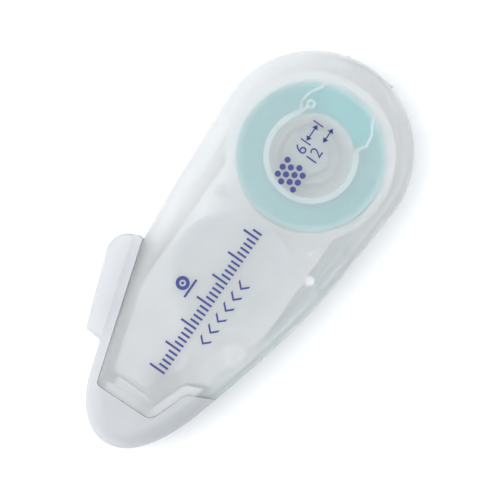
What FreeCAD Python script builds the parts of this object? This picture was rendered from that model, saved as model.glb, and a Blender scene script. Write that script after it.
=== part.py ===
import FreeCAD, Part
import math
import os

Vector = FreeCAD.Vector

# Correction tape roller, in millimetres. The roller lies on its plain face at z = 0.
# The origin is on the axis of the supply reel, +X points to the round tail, -X to the
# nose, +Y to the thumb tab and +Z out of the printed face.

# ---- driving dimensions of the case ----
THICKNESS = 15.0
WALL = 1.2
EDGE_RADIUS = 3.5
STRIP_BEVEL = 0.5
PARTING_Z = THICKNESS / 2
PARTING_GAP = 0.1
SEAM_GAP = 0.15
INSIDE_LOW = WALL
INSIDE_HIGH = THICKNESS - WALL

FAR = 60.0
OVERLAP = 0.1

TAIL_X, TAIL_Y, TAIL_RADIUS = 1.0, 0.2, 18.65
TAIL_ARC_END = 95.0
NOSE_POINTS = [
    (-16.0, -17.4), (-32.0, -15.0), (-48.0, -11.1), (-60.0, -6.4),
    (-64.2, -2.2), (-65.1, 1.5), (-63.8, 5.2), (-60.0, 8.75),
]
TOP_MIDDLE = (-15.0, 18.05)

# ---- finger recesses in the long sides, and the window beside the tail ----
RECESS_X = -15.05
RECESS_SIDES = [(-1, -17.45, -4.6), (1, 18.12, 2.6)]
RECESS_HALF, RECESS_CORNER, RECESS_DEPTH = 6.25, 3.0, 0.35
RECESS_LOW, RECESS_HIGH = 4.0, 11.0
SCOOP_RADIUS, SCOOP_OFFSET, SCOOP_INSET = 1.55, 4.7, 0.8
WINDOW_ANGLE = -26.0
WINDOW_HALF = 1.6
WINDOW_LOW, WINDOW_HIGH = 5.4, 9.6
FEET = [(0, 9), (0, -9), (-24, 8), (-24, -8), (-42, 0)]
FOOT_RADIUS = 1.5

# ---- the nose cap: a strip along the top edge, the nose and a thumb tab ----
STRIP_END_X = -30.1
STRIP_END_Y = 16.6
STRIP_SLOPE = 0.3125
STRIP_WIDTH = 2.0
STRIP_ANGLE = math.degrees(math.atan(STRIP_SLOPE))
STRIP_START_X = -54.7
NOSE_ROOM = 8.0
TAB_LOW, TAB_HIGH = 3.0, 12.0
TAB_ROUNDING = 0.75
TAB_FRONT_X, TAB_FRONT_Y, TAB_SLOPE = -49.9, 15.85, 0.369
TAB_FOOT = 2.6
TAB_LEAN = 0.15
TAB_FRONT_CORNER, TAB_REAR_CORNER = 0.8, 4.15
TAB_BACK_X, TAB_BACK_FLOOR = -36.2, 1.2

# ---- the seam between cap and case, with the radius of each corner ----
SEAM = [(-56.9, 8.22, 0.9), (-56.6, -3.6, 2.0), (-49.0, -6.3, 0.8), (-46.8, -11.2, 0.0)]
SEAM_EXIT = (-42.9, -19.9, 0.0)
NECK_FORWARD = 1.6
NECK_BACK = 1.5
NECK_INSET = 3.0
NECK_CLEARANCE = 0.5
NECK_REAR_X = -46.5
NECK_THICKNESS = 1.0

# ---- reels and gears ----
MODULE = 0.5
SUPPLY_TEETH = 61
TAKEUP_TEETH = 44
TOOTH_THINNING = 0.06
PRESSURE_ANGLE = math.radians(20)
TAKEUP_X = -MODULE * (SUPPLY_TEETH + TAKEUP_TEETH) / 2
GEAR_LOW, GEAR_HIGH = 2.7, 4.5
TAPE_LOW, TAPE_HIGH = 5.0, 11.0
ROLL_RADIUS = 13.86
CORE_IN, CORE_RADIUS = 6.0, 7.1
GEAR_BOSS_HIGH = 8.5
GEAR_HOLE_PLACE, GEAR_HOLE = 10.0, 2.2
HUB_LOW, HUB_HIGH = 4.8, 11.4
HUB_WEB_LOW, HUB_WEB_HIGH = 9.0, 10.0
HUB_LIP, HUB_LIP_LOW, HUB_LIP_HIGH = 8.1, 11.15, 11.6
HUB_BOSS = 3.4
HUB_RIB_IN, HUB_RIB_OUT, HUB_RIB_HEIGHT = 4.6, 5.0, 0.7
CLUTCH_RADIUS = 5.0
CLUTCH_LOW, CLUTCH_HIGH = 5.2, 7.4
DRUM_IN, DRUM_RADIUS = 9.0, 10.1
TAKEUP_BOSS = 3.2
SPOKES = 6
SPOKE_IN, SPOKE_HALF, SPOKE_HIGH = 2.5, 0.45, 9.5
FLANGE_BORE, FLANGE_RADIUS, FLANGE_HIGH = 3.3, 11.4, 11.6
SKIRT_THICKNESS, SKIRT_LOW = 0.65, 10.0
LINER_RADIUS = 10.6
SUPPLY_POST = 2.4
TAKEUP_POST = 2.0
POST_TOP = 11.25
BOSS_TOP = 11.2
CLIP_HIGH = 11.85
CLIP_BOTTOM, CLIP_SLOT_TOP, CLIP_SLOT = 7.0, 9.5, 0.5
SUPPLY_BORE, TAKEUP_BORE = 1.4, 1.1
SUPPLY_CLIP, TAKEUP_CLIP = 3.2, 3.0
BORE_BOTTOM = 6.5
CLIP_FIT = 0.02
RUNNING_FIT = 0.05

# ---- cartridge plates: x, y and corner radius of the outline, which joins the reel disc ----
PLATE_OUTLINE = [
    (0.0, 12.2, 0.0), (-37.0, 12.2, 4.0), (-53.2, 7.2, 1.0), (-53.2, -2.7, 1.0),
    (-47.6, -4.7, 1.0), (-45.2, -9.6, 1.5), (-37.0, -12.2, 4.0), (0.0, -12.2, 0.0),
]
BASE_LOW, BASE_HIGH = 1.5, 2.5
BASE_DISC, BASE_INSET = 16.0, 2.6
COVER_LOW, COVER_HIGH = 12.0, 12.8
COVER_DISC, COVER_INSET = 15.7, 1.9
BORDER_WIDTH, BORDER_HIGH, BORDER_END_X = 1.5, 13.1, -46.0
REEL_OPENING = COVER_DISC - BORDER_WIDTH
CUTOUT_ANGLE, CUTOUT_RADIUS = 42.0, 13.0
PILLARS = [(-14.8, 10.3, 1.0), (-14.8, -10.3, 1.0), (-41.0, 7.4, 1.0)]

# ---- sprung retainer: a C-shaped collar over the supply reel, with two wavy arms ----
COLLAR_IN, COLLAR_OUT = 7.75, 8.8
COLLAR_HIGH = 13.6
COLLAR_GAP = 50.0
ARM_HIGH = 13.3
ARM_LINE = [(5.35, 6.1), (7.4, 7.3), (9.8, 6.9), (11.4, 5.7), (12.9, 5.45)]
ARM_WIDTH, ARM_BEND = 0.5, 0.6
EYELET = (7.85, 5.55, 0.4, 0.9)
EYELET_STALK = [(5.6, 6.2), (7.2, 5.75)]

# ---- tape path: x, y, radius of what the tape runs on ----
GUIDE_PIN = (-19.0, -13.0, 0.9)
GUIDE_PIN_LUG, GUIDE_PIN_HIGH = 1.6, 11.6
FEED_ROLLER = (-38.2, -9.5, 2.1)
RETURN_ROLLER = (-45.2, -1.6, 1.6)
TRANSFER_ROLLER = (-61.4, -1.0, 1.6)
ROLLER_LOW, ROLLER_HIGH = 4.85, 11.1
AXLE_RADIUS = 0.55
AXLE_LOW, AXLE_HIGH = 3.2, 12.6
SPINDLE_SHARE = 0.4
SPINDLE_COLLAR, SPINDLE_COLLAR_HIGH = 0.5, 4.65
TAPE_THICKNESS = 0.12
CLOCKWISE, ANTICLOCKWISE = -1, 1

# ---- head that carries the transfer roller: x, y and corner radius of each outline ----
HEAD_WEB = [(-59.0, -0.3, 0.4), (-59.0, -2.7, 0.4), (-48.0, -6.7, 0.4), (-48.0, -0.8, 0.4)]
HEAD_NECK = [(-58.0, 5.8, 0.5), (-58.0, -2.6, 0.5), (-53.5, -2.6, 0.0), (-53.5, 5.8, 0.0)]
CHEEK_ROOT = [(-48.4, -8.4, 0.0), (-47.6, -6.0, 0.0), (-47.6, 1.4, 0.0)]
CHEEK_TIP_HALF, CHEEK_TIP_CORNER, CHEEK_SETBACK = 1.3, 1.2, 0.3
LOWER_CHEEK, UPPER_CHEEK = (3.6, 4.7), (11.25, COVER_LOW)
HEAD_LIP_LOW = INSIDE_HIGH - 0.9

# ---- hinge of the front shell ----
HINGE_X = 18.5
PIN_RADIUS = 0.55
KNUCKLE_RADIUS = 1.1
KNUCKLE_HALF = 3.8
LUG_INNER, LUG_OUTER = 4.1, 5.1
LUG_RADIUS, LUG_BACK, LUG_FRONT = 1.0, 1.0, 0.3
LUG_BOTTOM = 5.2
PIN_GRIP = 0.1
KNUCKLE_ROOM = 0.75
RELIEF_ROOM, RELIEF_HALF = 0.15, 7.0
STOP_RIBS = [-10.7, -19.0]
STOP_RIB_HALF = 0.35
STOP_RIB_SIDE = (-16.1, -14.6)
STOP_RIB_LOW = 10.2


# ---------------------------------------------------------------- plain shapes

def point(x, y, z=0.0):
    return Vector(x, y, z)


def box(low, high):
    size = [b - a for a, b in zip(low, high)]
    return Part.makeBox(size[0], size[1], size[2], Vector(*low))


def post(x, y, radius, low, high):
    return Part.makeCylinder(radius, high - low, point(x, y, low))


def ring(x, y, inner, outer, low, high):
    return post(x, y, outer, low, high).cut(post(x, y, inner, low, high))


def across(x, z, radius, y_low, y_high):
    """A cylinder that lies along Y."""
    return Part.makeCylinder(radius, y_high - y_low, Vector(x, y_low, z), Vector(0, 1, 0))


def prism(face, low, high):
    lifted = face.copy()
    lifted.translate(Vector(0, 0, low))
    return lifted.extrude(Vector(0, 0, high - low))


def fuse(shapes):
    return shapes[0].multiFuse(shapes[1:]).removeSplitter()


def rounded_face(corners):
    """A flat face with straight sides. Each corner is x, y and the radius that rounds it."""
    count = len(corners)
    edges = []
    starts = []
    for index, (x, y, radius) in enumerate(corners):
        here = point(x, y)
        before = point(*corners[index - 1][:2]).sub(here).normalize()
        after = point(*corners[(index + 1) % count][:2]).sub(here).normalize()
        if radius == 0:
            starts.append((here, None, here))
            continue
        half = before.getAngle(after) / 2
        reach = radius / math.tan(half)
        middle = before.add(after).normalize()
        centre = here.add(middle.multiply(radius / math.sin(half)))
        inward = here.sub(centre).normalize().multiply(radius)
        starts.append((here + before * reach, centre + inward, here + after * reach))
    for index, (begin, middle, end) in enumerate(starts):
        if middle is not None:
            edges.append(Part.Arc(begin, middle, end).toShape())
        following = starts[(index + 1) % count][0]
        if end.distanceToPoint(following) > 1e-6:
            edges.append(Part.LineSegment(end, following).toShape())
    return Part.Face(Part.Wire(edges))


def grown(face, distance):
    return face.makeOffset2D(distance)


def fillet_flat_edges(solid, radius, low, high, is_wanted):
    """Round the edges in the planes z = low and z = high whose middle point is wanted."""
    chosen = []
    for edge in solid.Edges:
        middle = edge.valueAt((edge.FirstParameter + edge.LastParameter) / 2)
        flat = edge.BoundBox.ZLength < 1e-6
        at_face = min(abs(middle.z - low), abs(middle.z - high)) < 1e-6
        if flat and at_face and is_wanted(middle):
            chosen.append(edge)
    return solid.makeFillet(radius, chosen)


# ---------------------------------------------------------------- outlines

def strip_line(x, offset=0.0):
    """Height of the strip's inner line at x, moved outwards by offset."""
    return STRIP_END_Y + STRIP_SLOPE * (x - STRIP_END_X) + offset * math.hypot(1, STRIP_SLOPE)


def tail_point(degrees, inset=0.0):
    angle = math.radians(degrees)
    radius = TAIL_RADIUS - inset
    return point(TAIL_X + radius * math.cos(angle), TAIL_Y + radius * math.sin(angle))


def tail_tangent(degrees):
    """Direction in which the outline leaves the tail circle, towards the nose."""
    angle = math.radians(abs(degrees))
    return Vector(-math.sin(angle), math.copysign(math.cos(angle), -degrees), 0)


def tail_arc(inset):
    ends = [tail_point(degrees, inset) for degrees in (-TAIL_ARC_END, 0, TAIL_ARC_END)]
    return Part.Arc(*ends).toShape()


def spline(points, first_tangent, last_tangent):
    curve = Part.BSplineCurve()
    curve.interpolate(Points=points, InitialTangent=first_tangent, FinalTangent=last_tangent)
    return curve


def inset_spline(points, first_tangent, last_tangent, inset, inner_side):
    """A smooth curve, moved inwards by inset. The inside is on its left (1) or right (-1)."""
    curve = spline(points, first_tangent, last_tangent)
    if inset:
        moved = []
        for place in points:
            along = curve.tangent(curve.parameter(place))[0]
            inwards = Vector(-along.y, along.x, 0).multiply(inner_side * inset)
            moved.append(place.add(inwards))
        curve = spline(moved, first_tangent, last_tangent)
    return curve.toShape()


def lower_and_nose_edge(inset):
    """From the bottom of the tail, along the lower side and round the nose to the strip."""
    start = tail_point(-TAIL_ARC_END)
    end = point(STRIP_START_X, strip_line(STRIP_START_X, STRIP_WIDTH))
    points = [start] + [point(x, y) for x, y in NOSE_POINTS] + [end]
    strip_way = Vector(1, STRIP_SLOPE, 0).normalize()
    return inset_spline(points, tail_tangent(-TAIL_ARC_END), strip_way, inset, -1)


def top_edge(inset):
    """From the top of the tail to the corner where the strip begins."""
    corner = point(STRIP_END_X, STRIP_END_Y - 0.1)
    points = [tail_point(TAIL_ARC_END), point(*TOP_MIDDLE), corner]
    corner_way = Vector(-1, -0.13, 0).normalize()
    return inset_spline(points, tail_tangent(TAIL_ARC_END), corner_way, inset, 1)


def line(start, end):
    return Part.LineSegment(start, end).toShape()


def face_from(edges):
    return Part.Face(Part.Wire(Part.sortEdges(edges)[0]))


def body_outline(inset=0.0):
    """The case behind the strip: tail, top side, lower side."""
    top = top_edge(inset)
    nose = lower_and_nose_edge(inset)
    closing = line(top.valueAt(top.LastParameter), nose.valueAt(nose.LastParameter))
    return face_from([tail_arc(inset), top, closing, nose])


def nose_outline(inset=0.0):
    """The front half with the strip's outer line, closed behind it by plain sides."""
    nose = lower_and_nose_edge(inset)
    strip_to_x = STRIP_END_X + NOSE_ROOM
    strip_to = point(strip_to_x, strip_line(strip_to_x, STRIP_WIDTH - inset))
    low = tail_point(-TAIL_ARC_END, inset)
    high = point(low.x, strip_to.y)
    sides = [line(nose.valueAt(nose.LastParameter), strip_to), line(strip_to, high), line(high, low)]
    return face_from([nose] + sides)


def body_blank(inset, low, high, radius):
    return fillet_flat_edges(prism(body_outline(inset), low, high), radius, low, high, is_body_side)


def nose_blank(inset, low, high, radius):
    return fillet_flat_edges(prism(nose_outline(inset), low, high), radius, low, high, is_nose_side)


def is_body_side(middle):
    on_closing_line = middle.y > 9 and middle.x < STRIP_END_X - 1
    return not on_closing_line


def is_nose_side(middle):
    below = middle.y < 2 and middle.x < -2
    on_strip = middle.x < STRIP_END_X and middle.y > 2
    return below or on_strip


def case_region(growth=0.0):
    """Everything behind the seam: under the strip and behind the neck."""
    corners = [
        (30.0, -30.0, 0.0), (30.0, 30.0, 0.0), (STRIP_END_X, 30.0, 0.0),
        (STRIP_END_X, STRIP_END_Y, 0.0),
    ] + SEAM + [SEAM_EXIT, (SEAM_EXIT[0], -30.0, 0.0)]
    face = rounded_face(corners)
    return grown(face, growth) if growth else face


def below_strip(offset):
    """Everything under the strip's inner line, and all that lies behind the strip, as a face."""
    corners = [
        (-FAR - 20, strip_line(-FAR - 20, offset), 0.0), (STRIP_END_X, strip_line(STRIP_END_X, offset), 0.0),
        (STRIP_END_X, FAR, 0.0), (FAR, FAR, 0.0), (FAR, -FAR, 0.0), (-FAR - 20, -FAR, 0.0),
    ]
    return rounded_face(corners)


# ---------------------------------------------------------------- case

def slab(low, high, x_low=-FAR - 20, x_high=FAR):
    """Everything between two heights, and between two places along the body."""
    return box((x_low, -FAR, low), (x_high, FAR, high))


def strip_bevel(z):
    """A square bar on edge, which takes the sharp edge off the case beside the strip."""
    start_x = STRIP_START_X - 3
    bar = Part.makeBox(STRIP_END_X - start_x + 1, STRIP_BEVEL, STRIP_BEVEL)
    bar.translate(Vector(0, -STRIP_BEVEL / 2, -STRIP_BEVEL / 2))
    bar.rotate(Vector(0, 0, 0), Vector(1, 0, 0), 45)
    bar.rotate(Vector(0, 0, 0), Vector(0, 0, 1), STRIP_ANGLE)
    bar.translate(Vector(start_x, strip_line(start_x), z))
    return bar


def hollow_case():
    """Both case shells as one hollow body, open at the nose."""
    outside = body_blank(0, 0, THICKNESS, EDGE_RADIUS)
    outside = outside.common(prism(case_region(), -1, THICKNESS + 1))
    inside = body_blank(WALL, INSIDE_LOW, INSIDE_HIGH, EDGE_RADIUS - WALL)
    inside = inside.common(prism(below_strip(-WALL), -1, THICKNESS + 1))
    return outside.cut(inside).cut(strip_bevel(0)).cut(strip_bevel(THICKNESS))


def grip_recesses():
    """Shallow finger recess on both long sides, with a scoop at each end."""
    tools = []
    corners = [(-RECESS_HALF, RECESS_LOW), (RECESS_HALF, RECESS_LOW),
               (RECESS_HALF, RECESS_HIGH), (-RECESS_HALF, RECESS_HIGH)]
    scoop_height = (RECESS_LOW + SCOOP_INSET, RECESS_HIGH - SCOOP_INSET)
    for side, y, tilt in RECESS_SIDES:
        pocket = rounded_face([(x, z, RECESS_CORNER) for x, z in corners])
        pocket.rotate(Vector(0, 0, 0), Vector(1, 0, 0), 90)
        solid = pocket.extrude(Vector(0, side * EDGE_RADIUS, 0))
        solid.translate(Vector(0, -side * RECESS_DEPTH, 0))
        scoops = []
        for x in (-SCOOP_OFFSET, SCOOP_OFFSET):
            scoops.append(post(x, side * SCOOP_RADIUS / 2, SCOOP_RADIUS, *scoop_height))
        tool = fuse([solid] + scoops)
        tool.rotate(Vector(0, 0, 0), Vector(0, 0, 1), tilt)
        tool.translate(Vector(RECESS_X, y, 0))
        tools.append(tool)
    return tools


def tail_window():
    """A small window through the wall beside the tail."""
    low = (TAIL_RADIUS - 2 * WALL, -WINDOW_HALF, WINDOW_LOW)
    high = (TAIL_RADIUS + WALL, WINDOW_HALF, WINDOW_HIGH)
    window = box(low, high)
    window.rotate(Vector(0, 0, 0), Vector(0, 0, 1), WINDOW_ANGLE)
    window.translate(Vector(TAIL_X, TAIL_Y, 0))
    return window


def neck_band(low, high, forward, back):
    """The lip that follows the seam under the cap's cheeks."""
    band = prism(case_region(forward), low, high).cut(prism(case_region(-back), low - 1, high + 1))
    inside = prism(nose_outline(NECK_INSET), low, high)
    under = prism(below_strip(-WALL - NECK_CLEARANCE), low, high)
    return band.common(inside).common(under).common(slab(low, high, x_high=NECK_REAR_X))


def hinge_relief(shell):
    """Cuts room for the hinge lugs beside the knuckle."""
    for y_low, y_high in ((-RELIEF_HALF, -KNUCKLE_HALF), (KNUCKLE_HALF, RELIEF_HALF)):
        shell = shell.cut(across(HINGE_X, PARTING_Z, KNUCKLE_RADIUS + RELIEF_ROOM, y_low, y_high))
    return shell


def rear_shell(case):
    shell = case.common(slab(-1, PARTING_Z - PARTING_GAP / 2))
    axis = (HINGE_X, PARTING_Z)
    room = KNUCKLE_HALF + RELIEF_ROOM
    shell = hinge_relief(shell.cut(across(*axis, KNUCKLE_RADIUS + KNUCKLE_ROOM, -room, room)))
    pieces = [shell, across(*axis, PIN_RADIUS, -LUG_OUTER, LUG_OUTER)]
    for y_low, y_high in ((-LUG_OUTER, -LUG_INNER), (LUG_INNER, LUG_OUTER)):
        pieces.append(across(*axis, LUG_RADIUS, y_low, y_high))
        pieces.append(box((HINGE_X - LUG_BACK, y_low, LUG_BOTTOM), (HINGE_X + LUG_FRONT, y_high, PARTING_Z)))
    pieces.append(neck_band(INSIDE_LOW + SEAM_GAP, INSIDE_LOW + NECK_THICKNESS, NECK_FORWARD, NECK_BACK))
    pieces.append(neck_band(INSIDE_LOW, INSIDE_LOW + SEAM_GAP, 0.0, NECK_BACK))
    for x, y in FEET:
        pieces.append(post(x, y, FOOT_RADIUS, INSIDE_LOW, BASE_LOW))
    return fuse(pieces)


def front_shell(case):
    shell = case.common(slab(PARTING_Z + PARTING_GAP / 2, THICKNESS + 1))
    axis = (HINGE_X, PARTING_Z)
    pieces = [hinge_relief(shell), across(*axis, KNUCKLE_RADIUS, -KNUCKLE_HALF, KNUCKLE_HALF)]
    for x in STOP_RIBS:
        low = (x - STOP_RIB_HALF, STOP_RIB_SIDE[0], STOP_RIB_LOW)
        pieces.append(box(low, (x + STOP_RIB_HALF, STOP_RIB_SIDE[1], INSIDE_HIGH + OVERLAP)))
    shell = fuse(pieces)
    past = KNUCKLE_HALF + 1
    shell = shell.cut(across(*axis, PIN_RADIUS + RUNNING_FIT, -past, past))
    mouth = PIN_RADIUS - PIN_GRIP
    return shell.cut(box((HINGE_X - mouth, -past, LUG_BOTTOM), (HINGE_X + mouth, past, PARTING_Z)))


def tab_face():
    """Outline of the thumb tab, with its foot inside the strip."""
    front, rear = TAB_FRONT_X, STRIP_END_X - SEAM_GAP
    foot = front - TAB_FOOT
    root = front - TAB_LEAN
    corners = [
        (foot, strip_line(foot, STRIP_WIDTH), 0.0), (root, strip_line(root, STRIP_WIDTH), TAB_FRONT_CORNER),
        (front, TAB_FRONT_Y, TAB_FRONT_CORNER),
        (rear, TAB_FRONT_Y + TAB_SLOPE * (rear - front), TAB_REAR_CORNER),
        (rear, strip_line(rear, 0.4), 0.0), (foot, strip_line(foot, 0.6), 0.0),
    ]
    return rounded_face(corners)


def is_tab_rim(middle):
    return middle.y > strip_line(middle.x, STRIP_WIDTH + 0.6)


def thumb_tab():
    solid = prism(tab_face(), TAB_LOW, TAB_HIGH)
    return fillet_flat_edges(solid, TAB_ROUNDING, TAB_LOW, TAB_HIGH, is_tab_rim)


def nose_cap():
    case_space = prism(case_region(SEAM_GAP), -1, THICKNESS + 1)
    cap = nose_blank(0, 0, THICKNESS, EDGE_RADIUS).cut(case_space)
    inside = nose_blank(WALL, INSIDE_LOW, INSIDE_HIGH, EDGE_RADIUS - WALL)
    inside = inside.common(prism(below_strip(SEAM_GAP), -1, THICKNESS + 1))
    cap = cap.cut(inside)
    beyond_tab = slab(-1, THICKNESS + 1, TAB_BACK_X, STRIP_END_X + 1)
    beyond_tab = beyond_tab.cut(prism(tab_face(), -2, THICKNESS + 2))
    beyond_tab = beyond_tab.cut(prism(below_strip(TAB_BACK_FLOOR), -2, THICKNESS + 2))
    return fuse([cap.cut(beyond_tab), thumb_tab()])


# ---------------------------------------------------------------- gears

def involute(angle):
    return math.tan(angle) - angle


def gear_face(teeth, x, y, first_tooth):
    """A spur gear. Each flank is drawn through its root, pitch and tip points."""
    pitch = MODULE * teeth / 2
    base = pitch * math.cos(PRESSURE_ANGLE)
    radii = (pitch - 1.25 * MODULE, pitch, pitch + MODULE)
    half_at_pitch = math.pi / (2 * teeth) - TOOTH_THINNING / (2 * pitch)
    halves = []
    for radius in radii:
        pressure = math.acos(min(1.0, base / radius))
        halves.append(half_at_pitch + involute(PRESSURE_ANGLE) - involute(pressure))
    corners = []
    for tooth in range(teeth):
        middle = math.radians(first_tooth) + 2 * math.pi * tooth / teeth
        corners += [(radius, middle - half) for radius, half in zip(radii, halves)]
        corners += [(radius, middle + half) for radius, half in zip(radii[::-1], halves[::-1])]
    points = [point(x + r * math.cos(a), y + r * math.sin(a)) for r, a in corners]
    return Part.Face(Part.makePolygon(points + points[:1]))


# ---------------------------------------------------------------- tape path

def tangent_points(first, second, shift):
    """Where a strand leaves one circle and meets the next. shift moves it to its left."""
    (x1, y1, r1, turn1), (x2, y2, r2, turn2) = first, second
    r1 -= turn1 * shift
    r2 -= turn2 * shift
    length = math.hypot(x2 - x1, y2 - y1)
    along = math.atan2(y2 - y1, x2 - x1)
    heading = along + math.asin(-(turn2 * r2 - turn1 * r1) / length)
    left = Vector(-math.sin(heading), math.cos(heading), 0)
    leave = point(x1, y1) - left * (turn1 * r1)
    meet = point(x2, y2) - left * (turn2 * r2)
    return leave, meet


def arc_between(circle, begin, end, shift):
    x, y, radius, turn = circle
    radius -= turn * shift
    start = math.atan2(begin.y - y, begin.x - x)
    stop = math.atan2(end.y - y, end.x - x)
    sweep = (stop - start) * turn % (2 * math.pi) * turn
    middle = start + sweep / 2
    via = point(x + radius * math.cos(middle), y + radius * math.sin(middle))
    return Part.Arc(begin, via, end).toShape()


def on_circle(circle, degrees, shift):
    x, y, radius, turn = circle
    angle = math.radians(degrees)
    radius -= turn * shift
    return point(x + radius * math.cos(angle), y + radius * math.sin(angle))


def strand_side(circles, shift, start_angle, end_angle):
    """One side of a strand that runs from circle to circle."""
    edges = []
    arrival = None
    if start_angle is not None:
        arrival = on_circle(circles[0], start_angle, shift)
    for index in range(len(circles) - 1):
        leave, meet = tangent_points(circles[index], circles[index + 1], shift)
        if arrival is not None:
            edges.append(arc_between(circles[index], arrival, leave, shift))
        edges.append(Part.LineSegment(leave, meet).toShape())
        arrival = meet
    if end_angle is not None:
        finish = on_circle(circles[-1], end_angle, shift)
        edges.append(arc_between(circles[-1], arrival, finish, shift))
    return edges


def strand(circles, start_angle=None, end_angle=None):
    """A strip of tape, six millimetres wide, standing on edge along its path."""
    half = TAPE_THICKNESS / 2
    left = strand_side(circles, half, start_angle, end_angle)
    right = strand_side(circles, -half, start_angle, end_angle)
    first = Part.LineSegment(left[0].Vertexes[0].Point, right[0].Vertexes[0].Point).toShape()
    last = Part.LineSegment(left[-1].Vertexes[-1].Point, right[-1].Vertexes[-1].Point).toShape()
    outline = Part.Wire(Part.sortEdges(left + right + [first, last])[0])
    return prism(Part.Face(outline), TAPE_LOW, TAPE_HIGH)


def wrapped(guide, turn):
    """The circle that the middle of the tape follows round a guide."""
    x, y, radius = guide
    return (x, y, radius + RUNNING_FIT + TAPE_THICKNESS / 2, turn)


def tape_feed_span():
    roll = wrapped((0.0, 0.0, ROLL_RADIUS), CLOCKWISE)
    guides = [wrapped(guide, CLOCKWISE) for guide in (GUIDE_PIN, FEED_ROLLER, TRANSFER_ROLLER)]
    return strand([roll] + guides, end_angle=180)


def tape_return_span():
    guides = [wrapped(guide, CLOCKWISE) for guide in (TRANSFER_ROLLER, RETURN_ROLLER)]
    drum = wrapped((TAKEUP_X, 0.0, LINER_RADIUS), ANTICLOCKWISE)
    return strand(guides + [drum], start_angle=180)


# ---------------------------------------------------------------- cartridge

def plate_face(disc_radius):
    """Outline shared by both cartridge plates: reel disc, straight body, tapered front."""
    disc = Part.Face(Part.Wire(Part.makeCircle(disc_radius)))
    return rounded_face(PLATE_OUTLINE).fuse(disc).removeSplitter().Faces[0]


def cartridge_base():
    plate = prism(plate_face(BASE_DISC), BASE_LOW, BASE_HIGH)
    pieces = [plate.common(prism(body_outline(BASE_INSET), BASE_LOW, BASE_HIGH))]
    pieces.append(post(GUIDE_PIN[0], GUIDE_PIN[1], GUIDE_PIN_LUG, BASE_LOW, BASE_HIGH))
    pieces.append(post(*GUIDE_PIN, BASE_HIGH, GUIDE_PIN_HIGH))
    pieces.append(post(0, 0, SUPPLY_POST, BASE_HIGH, POST_TOP))
    pieces.append(post(TAKEUP_X, 0, TAKEUP_POST, BASE_HIGH, POST_TOP))
    for x, y, radius in PILLARS:
        pieces.append(post(x, y, radius, BASE_HIGH, COVER_LOW))
    for x, y, radius in (FEED_ROLLER, RETURN_ROLLER):
        spindle = radius * SPINDLE_SHARE
        pieces.append(post(x, y, spindle, BASE_HIGH, COVER_LOW))
        pieces.append(post(x, y, spindle + SPINDLE_COLLAR, BASE_HIGH, SPINDLE_COLLAR_HIGH))
    base = fuse(pieces)
    for x, radius in ((0, SUPPLY_BORE), (TAKEUP_X, TAKEUP_BORE)):
        base = base.cut(post(x, 0, radius, BORE_BOTTOM, POST_TOP + 1))
    return base


def sector(inner, outer, start, stop, low, high):
    """Part of a ring between two angles in degrees."""
    solid = ring(0, 0, inner, outer, low, high)
    wedge = Part.makeCylinder(outer + 1, high - low + 2, point(0, 0, low - 1), Vector(0, 0, 1), stop - start)
    wedge.rotate(Vector(0, 0, 0), Vector(0, 0, 1), start)
    return solid.common(wedge)


def ribbon(points, width, rounding):
    """A flat strip of even width along a bent line, with every bend rounded."""
    corners = []
    for side in (1, -1):
        row = []
        for index, (x, y) in enumerate(points):
            before = points[max(index - 1, 0)]
            after = points[min(index + 1, len(points) - 1)]
            first = math.atan2(y - before[1], x - before[0]) if index else None
            second = math.atan2(after[1] - y, after[0] - x) if index < len(points) - 1 else None
            first = second if first is None else first
            second = first if second is None else second
            heading = (first + second) / 2
            reach = side * width / 2 / math.cos((second - first) / 2)
            inner = 0 < index < len(points) - 1
            corner = (x - reach * math.sin(heading), y + reach * math.cos(heading))
            row.append(corner + (rounding if inner else 0.0,))
        corners += row if side == 1 else row[::-1]
    return rounded_face(corners)


def cartridge_cover():
    """A milky plate with a raised border and a round opening over the supply reel."""
    outline = plate_face(COVER_DISC)
    border = prism(outline, COVER_HIGH, BORDER_HIGH).cut(
        prism(grown(outline, -BORDER_WIDTH), COVER_LOW, BORDER_HIGH + 1))
    border = border.common(slab(COVER_HIGH, BORDER_HIGH, x_low=BORDER_END_X))
    cover = fuse([prism(outline, COVER_LOW, COVER_HIGH), border])
    cover = cover.common(prism(body_outline(COVER_INSET), COVER_LOW, BORDER_HIGH))
    cover = cover.cut(post(0, 0, REEL_OPENING, COVER_LOW - 1, BORDER_HIGH + 1))
    for x, y, radius in PILLARS:
        cover = cover.cut(post(x, y, radius / 2, COVER_LOW - 1, COVER_HIGH + 1))
    return cover


def reel_window():
    """A clear disc in the cover's opening, open over the hub and beside the hub's gap."""
    disc = ring(0, 0, COLLAR_OUT, REEL_OPENING, COVER_LOW, COVER_HIGH)
    cutout = sector(COLLAR_IN, CUTOUT_RADIUS, -CUTOUT_ANGLE, CUTOUT_ANGLE, COVER_LOW - 1, COVER_HIGH + 1)
    return disc.cut(cutout)


def spring_arm(side):
    """A thin wavy arm from the end of the collar to the far edge of the cut-out."""
    path = [(x, side * y) for x, y in ARM_LINE]
    return prism(ribbon(path, ARM_WIDTH, ARM_BEND), COVER_HIGH, ARM_HIGH)


def reel_retainer():
    collar = sector(COLLAR_IN, COLLAR_OUT, COLLAR_GAP, 360 - COLLAR_GAP, COVER_LOW, COLLAR_HIGH)
    eyelet = ring(*EYELET, COVER_HIGH, ARM_HIGH)
    stalk = prism(ribbon(EYELET_STALK, ARM_WIDTH, 0), COVER_HIGH, ARM_HIGH)
    return fuse([collar, spring_arm(1), spring_arm(-1), eyelet, stalk])


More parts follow.
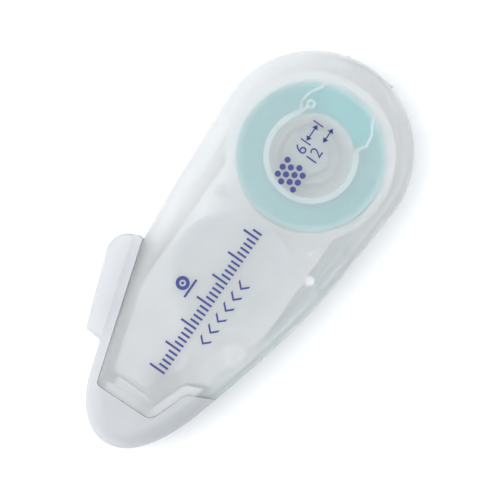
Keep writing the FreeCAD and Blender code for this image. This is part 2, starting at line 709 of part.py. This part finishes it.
def head_frame():
    """Two cheeks beside the transfer roller, on a web, with the upper lip of the seam."""
    x, y, radius = TRANSFER_ROLLER
    tip = x - radius + CHEEK_SETBACK
    tip_corners = [(tip, y + side * CHEEK_TIP_HALF, CHEEK_TIP_CORNER) for side in (1, -1)]
    cheek = rounded_face(tip_corners + CHEEK_ROOT)
    frame = fuse([
        prism(rounded_face(HEAD_WEB), BASE_HIGH, COVER_LOW),
        prism(cheek, *LOWER_CHEEK),
        prism(cheek, *UPPER_CHEEK),
        prism(rounded_face(HEAD_NECK), UPPER_CHEEK[0], HEAD_LIP_LOW),
        neck_band(HEAD_LIP_LOW, INSIDE_HIGH - SEAM_GAP, NECK_FORWARD, NECK_BACK),
    ])
    return frame.cut(post(x, y, AXLE_RADIUS, AXLE_LOW - OVERLAP, AXLE_HIGH + OVERLAP))


# ---------------------------------------------------------------- reels and rollers

def supply_gear():
    plate = prism(gear_face(SUPPLY_TEETH, 0, 0, 180), GEAR_LOW, GEAR_HIGH)
    gear = fuse([plate, post(0, 0, CLUTCH_RADIUS, GEAR_HIGH, GEAR_BOSS_HIGH)])
    for step in range(SPOKES):
        angle = math.radians(360 * (step + 0.5) / SPOKES)
        x, y = GEAR_HOLE_PLACE * math.cos(angle), GEAR_HOLE_PLACE * math.sin(angle)
        gear = gear.cut(post(x, y, GEAR_HOLE, 0, GEAR_HIGH + 1))
    return gear.cut(post(0, 0, SUPPLY_POST + RUNNING_FIT, 0, THICKNESS))


def clutch_ring():
    return ring(0, 0, CLUTCH_RADIUS + RUNNING_FIT, CORE_IN, CLUTCH_LOW, CLUTCH_HIGH)


def supply_hub():
    bore = SUPPLY_POST + RUNNING_FIT
    pieces = [
        ring(0, 0, CORE_IN, CORE_RADIUS, HUB_LOW, HUB_HIGH),
        ring(0, 0, bore, CORE_IN + OVERLAP, HUB_WEB_LOW, HUB_WEB_HIGH),
        ring(0, 0, bore, HUB_BOSS, HUB_WEB_LOW, BOSS_TOP),
        ring(0, 0, HUB_RIB_IN, HUB_RIB_OUT, HUB_WEB_HIGH - OVERLAP, HUB_WEB_HIGH + HUB_RIB_HEIGHT),
        ring(0, 0, CORE_IN, HUB_LIP, HUB_LIP_LOW, HUB_LIP_HIGH),
    ]
    return fuse(pieces)


def tape_roll():
    return ring(0, 0, CORE_RADIUS, ROLL_RADIUS, TAPE_LOW, TAPE_HIGH)


def snap_clip(x, bore_radius, head_radius):
    """A headed pin with a split end. Its head rests on the post and keeps the reel on."""
    stem_radius = bore_radius - CLIP_FIT
    head = post(x, 0, head_radius, POST_TOP, CLIP_HIGH)
    stem = post(x, 0, stem_radius, CLIP_BOTTOM, POST_TOP)
    low = (x - stem_radius - 1, -CLIP_SLOT / 2, CLIP_BOTTOM - 0.1)
    slot = box(low, (x + stem_radius + 1, CLIP_SLOT / 2, CLIP_SLOT_TOP))
    return fuse([head, stem]).cut(slot)


def takeup_reel():
    pieces = [
        prism(gear_face(TAKEUP_TEETH, TAKEUP_X, 0, 180 / TAKEUP_TEETH), GEAR_LOW, GEAR_HIGH),
        ring(TAKEUP_X, 0, DRUM_IN, DRUM_RADIUS, GEAR_HIGH, TAPE_HIGH),
        post(TAKEUP_X, 0, TAKEUP_BOSS, GEAR_HIGH, BOSS_TOP),
    ]
    for step in range(SPOKES):
        spoke = box((SPOKE_IN, -SPOKE_HALF, GEAR_HIGH), (DRUM_IN + OVERLAP, SPOKE_HALF, SPOKE_HIGH))
        spoke.rotate(Vector(0, 0, 0), Vector(0, 0, 1), 360 * step / SPOKES)
        spoke.translate(Vector(TAKEUP_X, 0, 0))
        pieces.append(spoke)
    return fuse(pieces).cut(post(TAKEUP_X, 0, TAKEUP_POST + RUNNING_FIT, 0, THICKNESS))


def takeup_flange():
    disc_low = TAPE_HIGH + RUNNING_FIT
    disc = ring(TAKEUP_X, 0, FLANGE_BORE, FLANGE_RADIUS, disc_low, FLANGE_HIGH)
    outside = DRUM_IN - RUNNING_FIT
    skirt = ring(TAKEUP_X, 0, outside - SKIRT_THICKNESS, outside, SKIRT_LOW, disc_low + RUNNING_FIT)
    return fuse([disc, skirt])


def used_liner():
    return ring(TAKEUP_X, 0, DRUM_RADIUS, LINER_RADIUS, TAPE_LOW, TAPE_HIGH - RUNNING_FIT)


def sleeve(roller, spindle):
    x, y, radius = roller
    return ring(x, y, spindle + RUNNING_FIT, radius, ROLLER_LOW, ROLLER_HIGH)


def transfer_roller():
    return sleeve(TRANSFER_ROLLER, AXLE_RADIUS)


def roller_axle():
    return post(TRANSFER_ROLLER[0], TRANSFER_ROLLER[1], AXLE_RADIUS, AXLE_LOW, AXLE_HIGH)


def guide_roller(roller):
    return sleeve(roller, roller[2] * SPINDLE_SHARE)


# ---------------------------------------------------------------- output

def main():
    os.makedirs("parts", exist_ok=True)
    case = hollow_case()
    for tool in grip_recesses() + [tail_window()]:
        case = case.cut(tool)
    nodes = {
        "front_shell": front_shell(case),
        "rear_shell": rear_shell(case),
        "nose_cap": nose_cap(),
        "cartridge_base": cartridge_base(),
        "cartridge_cover": cartridge_cover(),
        "reel_window": reel_window(),
        "reel_retainer": reel_retainer(),
        "head_frame": head_frame(),
        "roller_axle": roller_axle(),
        "transfer_roller": transfer_roller(),
        "guide_roller_feed": guide_roller(FEED_ROLLER),
        "guide_roller_return": guide_roller(RETURN_ROLLER),
        "tape_feed_span": tape_feed_span(),
        "tape_return_span": tape_return_span(),
        "supply_gear": supply_gear(),
        "clutch_ring": clutch_ring(),
        "supply_hub": supply_hub(),
        "tape_roll": tape_roll(),
        "reel_clip": snap_clip(0.0, SUPPLY_BORE, SUPPLY_CLIP),
        "takeup_reel": takeup_reel(),
        "takeup_flange": takeup_flange(),
        "used_liner": used_liner(),
        "takeup_clip": snap_clip(TAKEUP_X, TAKEUP_BORE, TAKEUP_CLIP),
    }
    for name, shape in nodes.items():
        shape.exportStep("parts/" + name + ".step")
        print(name, shape.ShapeType, len(shape.Solids), shape.isValid(), round(shape.Volume, 2))


main()
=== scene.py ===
import math

import bmesh
import bpy
from mathutils import Matrix, Vector


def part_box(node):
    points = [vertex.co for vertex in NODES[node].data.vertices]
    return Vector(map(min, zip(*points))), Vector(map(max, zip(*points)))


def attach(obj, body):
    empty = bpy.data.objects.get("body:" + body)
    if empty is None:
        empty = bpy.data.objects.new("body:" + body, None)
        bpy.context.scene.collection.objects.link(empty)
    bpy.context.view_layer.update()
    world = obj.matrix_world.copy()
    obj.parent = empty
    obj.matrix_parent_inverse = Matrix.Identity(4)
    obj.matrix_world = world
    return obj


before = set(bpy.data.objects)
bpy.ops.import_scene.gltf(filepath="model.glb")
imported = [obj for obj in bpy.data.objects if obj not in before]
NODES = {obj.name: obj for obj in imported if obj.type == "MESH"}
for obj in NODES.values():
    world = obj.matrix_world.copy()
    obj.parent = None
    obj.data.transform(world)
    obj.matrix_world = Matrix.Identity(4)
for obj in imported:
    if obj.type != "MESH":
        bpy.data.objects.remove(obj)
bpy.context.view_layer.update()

MM = 0.001
SCENE = bpy.context.scene

# The supply reel turns about the origin. The other round parts take their centres from the CAD boxes.
FACE_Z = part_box("front_shell")[1][2]
TAKEUP_X = (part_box("used_liner")[0][0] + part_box("used_liner")[1][0]) / 2

# ---- camera ----
TURN = math.radians(-55)
AIM = Vector((-20.6 * MM, -0.7 * MM, FACE_Z))
VIEW_WIDTH = 91.8 * MM
CAMERA_HEIGHT = 0.6
SENSOR = 36.0

# ---- studio: light level, how fast it changes with direction, and the bright direction ----
STUDIO_LEVEL = 0.66
STUDIO_SLOPE = 0.5
BRIGHT_SIDE = (-0.35, 0.3, 0.6)

# ---- width of the painted haze on a wound roll's rim: a paler band standing in for light that the frosted case scatters over the roll's edge ----
PAINTED_HAZE_WIDTH = 1.3 * MM


# ---------------------------------------------------------------- shaders

def srgb(red, green, blue):
    """A display colour, 0 to 255, as the linear colour that a shader takes."""
    values = []
    for level in (red, green, blue):
        share = level / 255
        values.append(share / 12.92 if share <= 0.04045 else ((share + 0.055) / 1.055) ** 2.4)
    return (*values, 1.0)


class Shader:
    """A material with one Principled shader, and short calls for the nodes that drive it."""

    def __init__(self, name, **plain):
        self.material = bpy.data.materials.new(name)
        self.material.use_nodes = True
        self.tree = self.material.node_tree
        self.principled = self.tree.nodes["Principled BSDF"]
        self.place = self.add("ShaderNodeTexCoord").outputs["Object"]
        for socket, value in plain.items():
            self.principled.inputs[socket.replace("_", " ")].default_value = value

    def add(self, kind, **settings):
        node = self.tree.nodes.new(kind)
        for key, value in settings.items():
            setattr(node, key, value)
        return node

    def feed(self, socket, value):
        if isinstance(value, bpy.types.NodeSocket):
            self.tree.links.new(value, socket)
        else:
            socket.default_value = value

    def drive(self, name, value):
        self.feed(self.principled.inputs[name], value)

    def math(self, operation, first, second=0.0):
        node = self.add("ShaderNodeMath", operation=operation)
        self.feed(node.inputs[0], first)
        self.feed(node.inputs[1], second)
        return node.outputs[0]

    def scaled(self, factors):
        node = self.add("ShaderNodeMapping")
        self.feed(node.inputs["Vector"], self.place)
        node.inputs["Scale"].default_value = factors
        return node.outputs["Vector"]

    def noise(self, size, detail=3.0, place=None):
        """Soft noise whose lumps are about size millimetres."""
        node = self.add("ShaderNodeTexNoise")
        self.feed(node.inputs["Vector"], place or self.place)
        node.inputs["Scale"].default_value = 1 / (size * MM)
        node.inputs["Detail"].default_value = detail
        return node.outputs["Fac"]

    def radius(self, x=0.0):
        """Distance from the vertical axis through (x, 0), in metres."""
        moved = self.add("ShaderNodeVectorMath", operation="SUBTRACT")
        self.feed(moved.inputs[0], self.scaled((1, 1, 0)))
        moved.inputs[1].default_value = (x, 0, 0)
        length = self.add("ShaderNodeVectorMath", operation="LENGTH")
        self.feed(length.inputs[0], moved.outputs["Vector"])
        return length.outputs["Value"]

    def waves(self, value, pitch):
        """A sine of value that repeats every pitch millimetres, from -1 to 1."""
        return self.math("SINE", self.math("MULTIPLY", value, 2 * math.pi / (pitch * MM)))

    def span(self, value, low, high, out_low, out_high):
        node = self.add("ShaderNodeMapRange")
        self.feed(node.inputs["Value"], value)
        node.inputs["From Min"].default_value = low
        node.inputs["From Max"].default_value = high
        node.inputs["To Min"].default_value = out_low
        node.inputs["To Max"].default_value = out_high
        return node.outputs["Result"]

    def blend(self, factor, first, second):
        node = self.add("ShaderNodeMix", data_type="RGBA")
        self.feed(node.inputs["Factor"], factor)
        self.feed(node.inputs[6], first)
        self.feed(node.inputs[7], second)
        return node.outputs[2]

    def bump(self, height, distance, strength=1.0):
        """Relief of the given height in millimetres."""
        node = self.add("ShaderNodeBump")
        node.inputs["Strength"].default_value = strength
        node.inputs["Distance"].default_value = distance * MM
        self.feed(node.inputs["Height"], height)
        self.drive("Normal", node.outputs["Normal"])

    def scratches(self, size, width):
        """Fine lines along the body, from strongly stretched noise. 1 in a scratch, else 0."""
        streaks = self.noise(size, 2.0, self.scaled((0.04, 1.0, 1.0)))
        return self.span(streaks, 0.5 + 3 * width, 0.5 + 4 * width, 0.0, 1.0)


def milky(name, light, deep, transmission, roughness, alpha):
    """Moulded polypropylene that lets blurred shapes through: a little cloudy and softly grained."""
    shader = Shader(name, Transmission_Weight=transmission, Alpha=alpha, IOR=1.49)
    cloud = shader.noise(9.0, 3.0)
    shader.drive("Base Color", shader.blend(shader.span(cloud, 0.3, 0.7, 0, 1), light, deep))
    grain = shader.noise(1.4, 3.0)
    scuffs = shader.scratches(0.5, 0.03)
    rough = shader.span(grain, 0.3, 0.7, roughness - 0.05, roughness + 0.05)
    shader.drive("Roughness", shader.math("ADD", rough, shader.math("MULTIPLY", scuffs, 0.03)))
    shader.bump(shader.noise(5.0, 1.0), 0.02)
    return shader.material


def moulded(name, light, deep, roughness, ring_x=None, ring_pitch=0.8, subsurface=0.0):
    """Opaque moulded plastic with fine grain. Round parts also carry faint turned rings about ring_x."""
    shader = Shader(name, Specular_IOR_Level=0.5, Subsurface_Weight=subsurface, Subsurface_Scale=0.002)
    cloud = shader.noise(4.0, 4.0)
    shader.drive("Base Color", shader.blend(shader.span(cloud, 0.3, 0.7, 0, 1), light, deep))
    grain = shader.noise(0.3, 4.0)
    shader.drive("Roughness", shader.span(grain, 0.3, 0.7, roughness - 0.08, roughness + 0.08))
    height = grain
    if ring_x is not None:
        rings = shader.waves(shader.radius(ring_x), ring_pitch)
        height = shader.math("ADD", grain, shader.math("MULTIPLY", rings, 0.6))
    shader.bump(height, 0.01)
    return shader.material


def wound_tape(name, light, deep, speckle_and_haze, centre_x, pitch):
    """The side of the wound roll in that node: many fine layers, some prouder, and paler near the rim,
    where a painted haze stands in for light that the frosted case scatters over the roll's edge.
    """
    shader = Shader(name, Specular_IOR_Level=0.4, Sheen_Weight=0.05)
    radius = shader.radius(centre_x)
    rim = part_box(name)[1][0] - centre_x
    bands = shader.add("ShaderNodeTexNoise", noise_dimensions="1D")
    shader.feed(bands.inputs["W"], radius)
    bands.inputs["Scale"].default_value = 1 / (pitch * MM)
    bands.inputs["Detail"].default_value = 6.0
    layers = bands.outputs["Fac"]
    base = shader.blend(shader.span(layers, 0.35, 0.65, 0, 1), light, deep)
    speckle = shader.span(shader.noise(0.7, 2.0), 0.6, 0.75, 0.0, 0.35)
    # Painted haze: the outer band turns paler, standing in for light that the frosted case scatters over
    # the roll's edge. The same rim colour also serves the random pale speckles.
    painted_haze = shader.span(radius, rim - PAINTED_HAZE_WIDTH, rim, 0.0, 0.9)
    shader.drive("Base Color", shader.blend(shader.math("MAXIMUM", speckle, painted_haze), base, speckle_and_haze))
    shader.drive("Roughness", shader.span(layers, 0.3, 0.7, 0.42, 0.6))
    shader.bump(shader.math("ADD", layers, shader.math("MULTIPLY", shader.waves(radius, 0.16), 0.2)), 0.03)
    return shader.material


def rubber(name, base, dust):
    shader = Shader(name, Specular_IOR_Level=0.3, Sheen_Weight=0.15)
    bloom = shader.noise(1.2, 5.0)
    shader.drive("Base Color", shader.blend(shader.span(bloom, 0.45, 0.75, 0, 0.6), base, dust))
    shader.drive("Roughness", shader.span(bloom, 0.3, 0.7, 0.6, 0.8))
    shader.bump(shader.noise(0.12, 3.0), 0.015)
    return shader.material


def steel(name):
    """Drawn steel wire: fine lines round the axle and small dull patches."""
    shader = Shader(name, Metallic=1.0)
    patches = shader.noise(0.8, 4.0)
    shader.drive("Base Color", shader.blend(patches, srgb(190, 192, 196), srgb(150, 152, 157)))
    lines = shader.noise(0.3, 2.0, shader.scaled((1.0, 1.0, 12.0)))
    shader.drive("Roughness", shader.span(lines, 0.3, 0.7, 0.22, 0.42))
    shader.bump(lines, 0.004)
    return shader.material


def printed(name, base, worn):
    """Pad-printed ink: slightly uneven, with pinholes where the plastic's grain shows."""
    shader = Shader(name, Specular_IOR_Level=0.4)
    mottle = shader.noise(0.5, 4.0)
    pinholes = shader.span(shader.noise(0.15, 2.0), 0.66, 0.74, 0.0, 0.5)
    ink = shader.blend(shader.span(mottle, 0.3, 0.7, 0.0, 0.5), base, worn)
    shader.drive("Base Color", shader.blend(pinholes, ink, srgb(150, 156, 190)))
    shader.drive("Roughness", shader.span(mottle, 0.3, 0.7, 0.38, 0.55))
    shader.bump(shader.noise(0.2, 3.0), 0.004)
    return shader.material


def table_top(name):
    shader = Shader(name, Specular_IOR_Level=0.2)
    fibre = shader.noise(2.0, 5.0)
    shader.drive("Base Color", shader.blend(fibre, srgb(247, 248, 249), srgb(250, 251, 252)))
    shader.drive("Roughness", shader.span(fibre, 0.3, 0.7, 0.75, 0.85))
    shader.bump(fibre, 0.01)
    return shader.material


def finish_nodes():
    """Gives every CAD node its own material."""
    case = milky("case_plastic", srgb(242, 243, 244), srgb(236, 238, 240),
                 transmission=0.66, roughness=0.34, alpha=0.45)
    cap = milky("cap_plastic", srgb(204, 207, 211), srgb(198, 202, 207),
                transmission=0.12, roughness=0.4, alpha=0.6)
    window = milky("window_plastic", srgb(240, 242, 243), srgb(234, 237, 238),
                   transmission=0.3, roughness=0.2, alpha=0.06)
    cover = milky("cover_plastic", srgb(238, 240, 241), srgb(230, 233, 235),
                  transmission=0.5, roughness=0.35, alpha=0.45)
    flange = milky("flange_plastic", srgb(214, 234, 236), srgb(206, 226, 229),
                   transmission=0.4, roughness=0.35, alpha=0.75)
    retainer = milky("retainer_plastic", srgb(222, 238, 239), srgb(214, 232, 234),
                     transmission=0.3, roughness=0.3, alpha=0.55)
    plate = moulded("plate_plastic", srgb(236, 238, 240), srgb(228, 231, 233),
                    roughness=0.42, subsurface=0.15)
    head = milky("head_plastic", srgb(240, 242, 243), srgb(234, 237, 239),
                 transmission=0.4, roughness=0.3, alpha=0.6)
    gear = moulded("gear_plastic", srgb(234, 237, 239), srgb(226, 230, 232),
                   roughness=0.38, ring_x=0.0, ring_pitch=0.9, subsurface=0.1)
    takeup = moulded("takeup_plastic", srgb(228, 233, 235), srgb(220, 226, 228),
                     roughness=0.38, ring_x=TAKEUP_X, ring_pitch=0.9, subsurface=0.1)
    hub = milky("hub_plastic", srgb(204, 220, 222), srgb(196, 212, 216),
                transmission=0.25, roughness=0.3, alpha=0.6)
    clip = moulded("clip_plastic", srgb(150, 166, 170), srgb(142, 158, 162),
                   roughness=0.34, ring_x=0.0, ring_pitch=0.7, subsurface=0.1)
    roller = rubber("roller_rubber", srgb(226, 228, 228), srgb(240, 241, 241))
    guide = moulded("guide_plastic", srgb(226, 229, 230), srgb(216, 220, 222),
                    roughness=0.36)
    # The roll's third colour serves its pale speckles and the painted haze of scattered light at its rim.
    roll = wound_tape("tape_roll", srgb(20, 170, 174), srgb(10, 158, 163), srgb(150, 214, 215),
                      centre_x=0.0, pitch=0.5)
    tape = moulded("teal_tape", srgb(96, 188, 188), srgb(74, 168, 170),
                   roughness=0.45)
    # The liner's third colour serves its pale speckles and the painted haze of scattered light at its rim.
    liner = wound_tape("used_liner", srgb(232, 236, 236), srgb(218, 224, 225), srgb(240, 242, 242),
                       centre_x=TAKEUP_X, pitch=0.2)
    slip = rubber("clutch_rubber", srgb(132, 142, 145), srgb(158, 166, 168))
    axle = steel("axle_steel")
    return {
        "front_shell": case, "rear_shell": case, "nose_cap": cap,
        "cartridge_base": plate, "cartridge_cover": cover,
        "reel_window": window, "reel_retainer": retainer,
        "head_frame": head, "roller_axle": axle, "transfer_roller": roller,
        "guide_roller_feed": guide, "guide_roller_return": guide,
        "tape_feed_span": tape, "tape_return_span": liner, "used_liner": liner,
        "supply_gear": gear, "clutch_ring": slip, "supply_hub": hub, "tape_roll": roll,
        "reel_clip": clip, "takeup_clip": flange,
        "takeup_reel": takeup, "takeup_flange": flange,
    }


def dress_nodes():
    for name, material in finish_nodes().items():
        mesh = NODES[name].data
        mesh.materials.clear()
        mesh.materials.append(material)


# ---------------------------------------------------------------- printed marks

INK_HALF = 0.01
RING_STEPS = 48


def place_on_face(name, mesh):
    piece = bpy.data.objects.new(name, mesh)
    SCENE.collection.objects.link(piece)
    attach(piece, "front_cover")


class Print:
    """Thin flat shapes of ink on the printed face, in millimetres, gathered in one piece."""

    def __init__(self):
        self.mesh = bmesh.new()

    def corner(self, x, y, above):
        return self.mesh.verts.new((x * MM, y * MM, FACE_Z + above * INK_HALF * MM))

    def outline(self, points):
        """A closed shape through the points, which run anticlockwise."""
        low = [self.corner(x, y, -1) for x, y in points]
        high = [self.corner(x, y, 1) for x, y in points]
        self.mesh.faces.new(high)
        self.mesh.faces.new(low[::-1])
        for index in range(len(points)):
            after = (index + 1) % len(points)
            self.mesh.faces.new((low[index], low[after], high[after], high[index]))

    def bar(self, x, y, width, height):
        """A rectangle from its lower left corner."""
        self.outline([(x, y), (x + width, y), (x + width, y + height), (x, y + height)])

    def circle(self, x, y, radius):
        angles = [2 * math.pi * step / RING_STEPS for step in range(RING_STEPS)]
        return [(x + radius * math.cos(angle), y + radius * math.sin(angle)) for angle in angles]

    def dot(self, x, y, radius):
        self.outline(self.circle(x, y, radius))

    def ring(self, x, y, inner, outer):
        rows = []
        for radius, above in ((inner, -1), (outer, -1), (outer, 1), (inner, 1)):
            rows.append([self.corner(*place, above) for place in self.circle(x, y, radius)])
        for index in range(4):
            first, second = rows[index], rows[(index + 1) % 4]
            for step in range(RING_STEPS):
                after = (step + 1) % RING_STEPS
                self.mesh.faces.new((first[step], first[after], second[after], second[step]))

    def piece(self, name, material):
        bmesh.ops.recalc_face_normals(self.mesh, faces=self.mesh.faces)
        mesh = bpy.data.meshes.new(name)
        self.mesh.to_mesh(mesh)
        self.mesh.free()
        mesh.materials.append(material)
        place_on_face(name, mesh)


def print_ruler(ink):
    """A plain millimetre scale along the middle of the face."""
    marks = Print()
    start_x, y, stroke = -48.4, -0.9, 0.42
    for step in range(32):
        height = 3.3 if step % 5 == 0 else 1.9
        marks.bar(start_x + step, y, stroke, height)
    marks.piece("print_ruler", ink)


def print_arrows(ink):
    """Chevrons that show which way the cap pulls off."""
    marks = Print()
    start_x, pitch, y, half, stroke, lean = -39.9, 2.45, -3.45, 1.15, 0.5, 1.1
    for step in range(6):
        x = start_x + pitch * step
        marks.outline([(x, y), (x + lean, y - half), (x + lean + stroke, y - half), (x + stroke, y)])
        marks.outline([(x, y), (x + stroke, y), (x + lean + stroke, y + half), (x + lean, y + half)])
    marks.piece("print_arrows", ink)


def print_roller_icon(ink):
    """A pictogram of a roller on a sheet."""
    marks = Print()
    x, y, radius, sheet_half = -32.65, 5.95, 1.3, 1.95
    marks.ring(x, y, 0.62, radius)
    marks.dot(x, y, 0.28)
    marks.bar(x - sheet_half, y - radius - 0.65, 2 * sheet_half, 0.42)
    marks.piece("print_roller_icon", ink)


def print_dots(ink):
    """The dot pattern of the tape, as a diamond of twelve."""
    marks = Print()
    pitch, radius = 1.56, 0.57
    for y, first_x in ((3.15, -6.2), (1.85, -7.0), (0.5, -6.2), (-0.8, -7.0)):
        for step in range(3):
            marks.dot(first_x + pitch * step, y, radius)
    marks.piece("print_dots", ink)


def print_number(ink, name, digits, x, y, height):
    """Digits of the given height as thin ink, set from the lower left corner."""
    curve = bpy.data.curves.new(name, "FONT")
    curve.body = digits
    curve.extrude = 0.5
    source = bpy.data.objects.new(name + "_source", curve)
    mesh = bpy.data.meshes.new_from_object(source)
    bpy.data.objects.remove(source)
    xs = [vertex.co.x for vertex in mesh.vertices]
    ys = [vertex.co.y for vertex in mesh.vertices]
    scale = height * MM / (max(ys) - min(ys))
    mesh.transform(Matrix.Translation((-min(xs), -min(ys), 0)))
    mesh.transform(Matrix.Diagonal((scale, scale, 2 * INK_HALF * MM, 1)))
    mesh.transform(Matrix.Translation((x * MM, y * MM, FACE_Z)))
    mesh.materials.clear()
    mesh.materials.append(ink)
    place_on_face(name, mesh)


def print_size(ink):
    """The tape's width and length: a number and a symbol for each."""
    print_number(ink, "print_width_number", "6", -0.7, 1.2, 2.2)
    print_number(ink, "print_length_number", "12", -0.7, -1.5, 2.2)
    marks = Print()
    stroke, head, half = 0.26, 0.9, 0.6
    for y, first, last in ((2.3, 1.75, 5.35), (-0.4, 3.2, 6.4)):
        marks.bar(first + 0.5, y - stroke / 2, last - first - 1.0, stroke)
        marks.outline([(first, y), (first + head, y - half), (first + head, y + half)])
        marks.outline([(last, y), (last - head, y + half), (last - head, y - half)])
    for x in (1.4, 5.45):
        marks.bar(x, 1.2, stroke, 2.2)
    marks.piece("print_size_arrows", ink)


def add_prints():
    ink = printed("navy_ink", srgb(40, 50, 116), srgb(50, 60, 126))
    print_ruler(ink)
    print_arrows(ink)
    print_roller_icon(ink)
    print_dots(ink)
    print_size(ink)


# ---------------------------------------------------------------- room

def add_floor():
    mesh = bpy.data.meshes.new("floor")
    half = 3.0
    corners = [(-half, -half, 0), (half, -half, 0), (half, half, 0), (-half, half, 0)]
    mesh.from_pydata(corners, [], [(0, 1, 2, 3)])
    floor = bpy.data.objects.new("floor", mesh)
    SCENE.collection.objects.link(floor)
    mesh.materials.append(table_top("table_top"))
    floor.location.z = -0.02 * MM


def add_light(name, place, size, power, colour):
    """A square soft box that faces the object."""
    data = bpy.data.lights.new(name, "AREA")
    data.size = size
    data.energy = power
    data.color = colour
    light = bpy.data.objects.new(name, data)
    SCENE.collection.objects.link(light)
    light.location = place
    light.rotation_euler = (AIM - Vector(place)).to_track_quat("-Z", "Y").to_euler()


def make_studio():
    """Soft light from all round, strongest from above and from the tab's side."""
    world = bpy.data.worlds.new("studio")
    world.use_nodes = True
    tree = world.node_tree
    background = tree.nodes["Background"]
    background.inputs["Color"].default_value = (0.985, 0.99, 1.0, 1.0)
    direction = tree.nodes.new("ShaderNodeTexCoord").outputs["Generated"]
    facing = tree.nodes.new("ShaderNodeVectorMath")
    facing.operation = "DOT_PRODUCT"
    tree.links.new(direction, facing.inputs[0])
    facing.inputs[1].default_value = BRIGHT_SIDE
    strength = tree.nodes.new("ShaderNodeMath")
    strength.operation = "MULTIPLY_ADD"
    tree.links.new(facing.outputs["Value"], strength.inputs[0])
    strength.inputs[1].default_value = STUDIO_SLOPE
    strength.inputs[2].default_value = STUDIO_LEVEL
    tree.links.new(strength.outputs["Value"], background.inputs["Strength"])
    return world


def add_lights():
    add_light("top_box", (-0.15, 0.25, 1.1), 1.2, 8.5, (1.0, 1.0, 1.0))
    add_light("side_box", (-0.5, 0.8, 0.6), 0.8, 3.0, (0.99, 0.995, 1.0))
    SCENE.world = make_studio()


def add_camera():
    """Straight above the printed face, with the body running from lower left to upper right."""
    data = bpy.data.cameras.new("camera")
    data.sensor_width = SENSOR
    data.lens = SENSOR * CAMERA_HEIGHT / VIEW_WIDTH
    data.clip_start = 0.01
    data.clip_end = 20.0
    camera = bpy.data.objects.new("camera", data)
    SCENE.collection.objects.link(camera)
    camera.location = AIM + Vector((0, 0, CAMERA_HEIGHT))
    camera.rotation_euler = (0, 0, TURN)
    SCENE.camera = camera


SCENE.view_settings.view_transform = "Standard"
add_camera()
add_lights()
add_floor()
dress_nodes()
add_prints()
